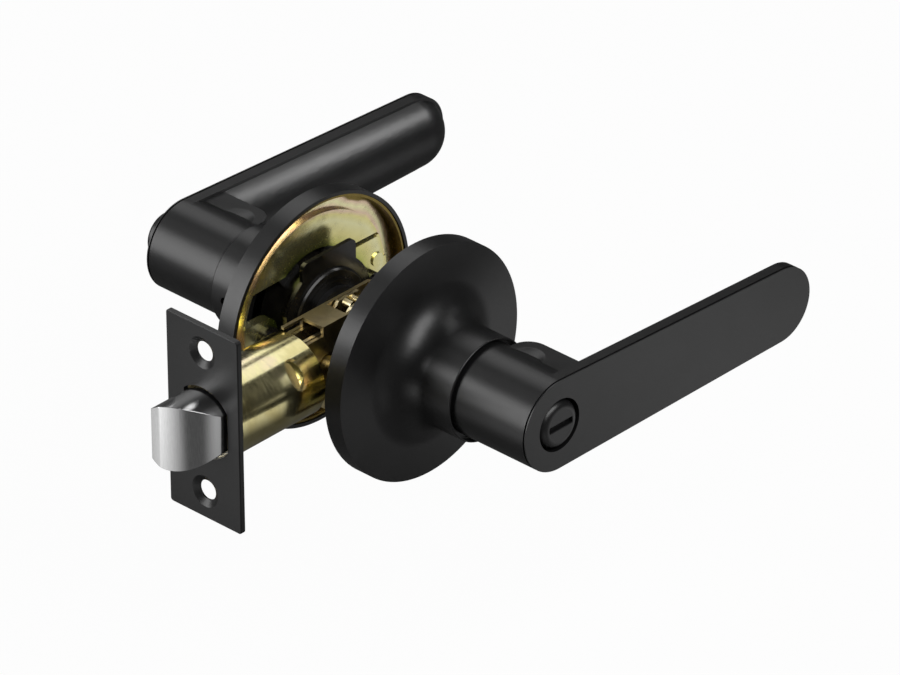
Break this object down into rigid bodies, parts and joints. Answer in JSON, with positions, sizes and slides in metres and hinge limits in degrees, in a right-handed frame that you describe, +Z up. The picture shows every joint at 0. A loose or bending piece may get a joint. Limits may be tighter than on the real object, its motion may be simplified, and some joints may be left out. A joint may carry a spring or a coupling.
{
  "type": "door lever lock",
  "caption": "Privacy lever door lock: two round roses with levers, push button and slotted release, and a tubular spring latch with its front plate.",
  "frame": {"origin": "where the spindle axis crosses the latch axis, halfway between the two roses, in the middle of the door", "axes": "+X from the door's edge along the levers to their tips, -Y to the outside with the slotted release, +Y to the inside with the push button, +Z up"},
  "size_m": [0.1688, 0.1418, 0.066],
  "materials": {
    "black_finish": "matte",
    "black_steel": "satin",
    "yellow_zinc": "satin",
    "spring_steel": "satin",
    "satin_chrome": "satin"
  },
  "bodies": {
    "lock_frame": {"inside_liner": "yellow_zinc", "inside_return_spring": "spring_steel", "inside_rose": "black_finish", "inside_spring_housing": "black_steel", "latch_backplate": "black_steel", "latch_case": "yellow_zinc", "latch_faceplate": "black_finish", "latch_spring": "spring_steel", "latch_spring_seat": "yellow_zinc", "latch_tube": "yellow_zinc", "mounting_posts": "yellow_zinc", "mounting_screws": "black_steel", "outside_liner": "yellow_zinc", "outside_return_spring": "spring_steel", "outside_rose": "black_finish", "outside_spring_housing": "black_steel"},
    "outside_handle": {"outside_lever": "black_finish", "outside_sleeve": "black_steel", "outside_lever_pin": "spring_steel", "outside_spring_driver": "black_steel", "outside_retaining_ring": "spring_steel", "drive_spindle": "spring_steel"},
    "inside_handle": {"inside_lever": "black_finish", "inside_sleeve": "black_steel", "inside_lever_pin": "spring_steel", "inside_spring_driver": "black_steel", "inside_retaining_ring": "spring_steel"},
    "release": {"outside_release_button": "black_finish"},
    "push": {"inside_push_button": "black_finish", "lock_bar": "spring_steel"},
    "cam": {"latch_cam": "black_steel"},
    "bolt": {"latch_bolt": "satin_chrome", "latch_stem": "spring_steel", "latch_yoke": "yellow_zinc", "latch_yoke_pins": "spring_steel"}
  },
  "joints": [
    {"name": "outside_turn", "type": "hinge", "parent": "lock_frame", "child": "outside_handle", "pos_m": [0, 0, 0], "axis": [0, 1, 0], "range_deg": [0, 60], "stiffness_Nm_per_rad": 1.2, "springref_deg": -28.65},
    {"name": "inside_turn", "type": "hinge", "parent": "lock_frame", "child": "inside_handle", "pos_m": [0, 0, 0], "axis": [0, 1, 0], "range_deg": [0, 60], "stiffness_Nm_per_rad": 1.2, "springref_deg": -28.65},
    {"name": "cam_turn", "type": "hinge", "parent": "lock_frame", "child": "cam", "pos_m": [0, 0, 0], "axis": [0, 1, 0], "range_deg": [0, 60]},
    {"name": "bolt_slide", "type": "slide", "parent": "lock_frame", "child": "bolt", "axis": [1, 0, 0], "range_m": [0, 0.0127], "stiffness_N_per_m": 400, "springref_m": -0.01, "deforming": ["latch_spring"]},
    {"name": "push_slide", "type": "slide", "parent": "inside_handle", "child": "push", "axis": [0, -1, 0], "range_m": [0, 0.003], "stiffness_N_per_m": 300, "springref_m": -0.002},
    {"name": "release_turn", "type": "hinge", "parent": "outside_handle", "child": "release", "pos_m": [0, 0, 0], "axis": [0, 1, 0], "range_deg": [0, 90]}
  ],
  "couplings": [
    {"joint": "inside_turn", "follows": "outside_turn", "ratio": 1},
    {"joint": "cam_turn", "follows": "outside_turn", "ratio": 1},
    {"joint": "bolt_slide", "follows": "outside_turn", "m_per_rad": 0.012127}
  ]
}
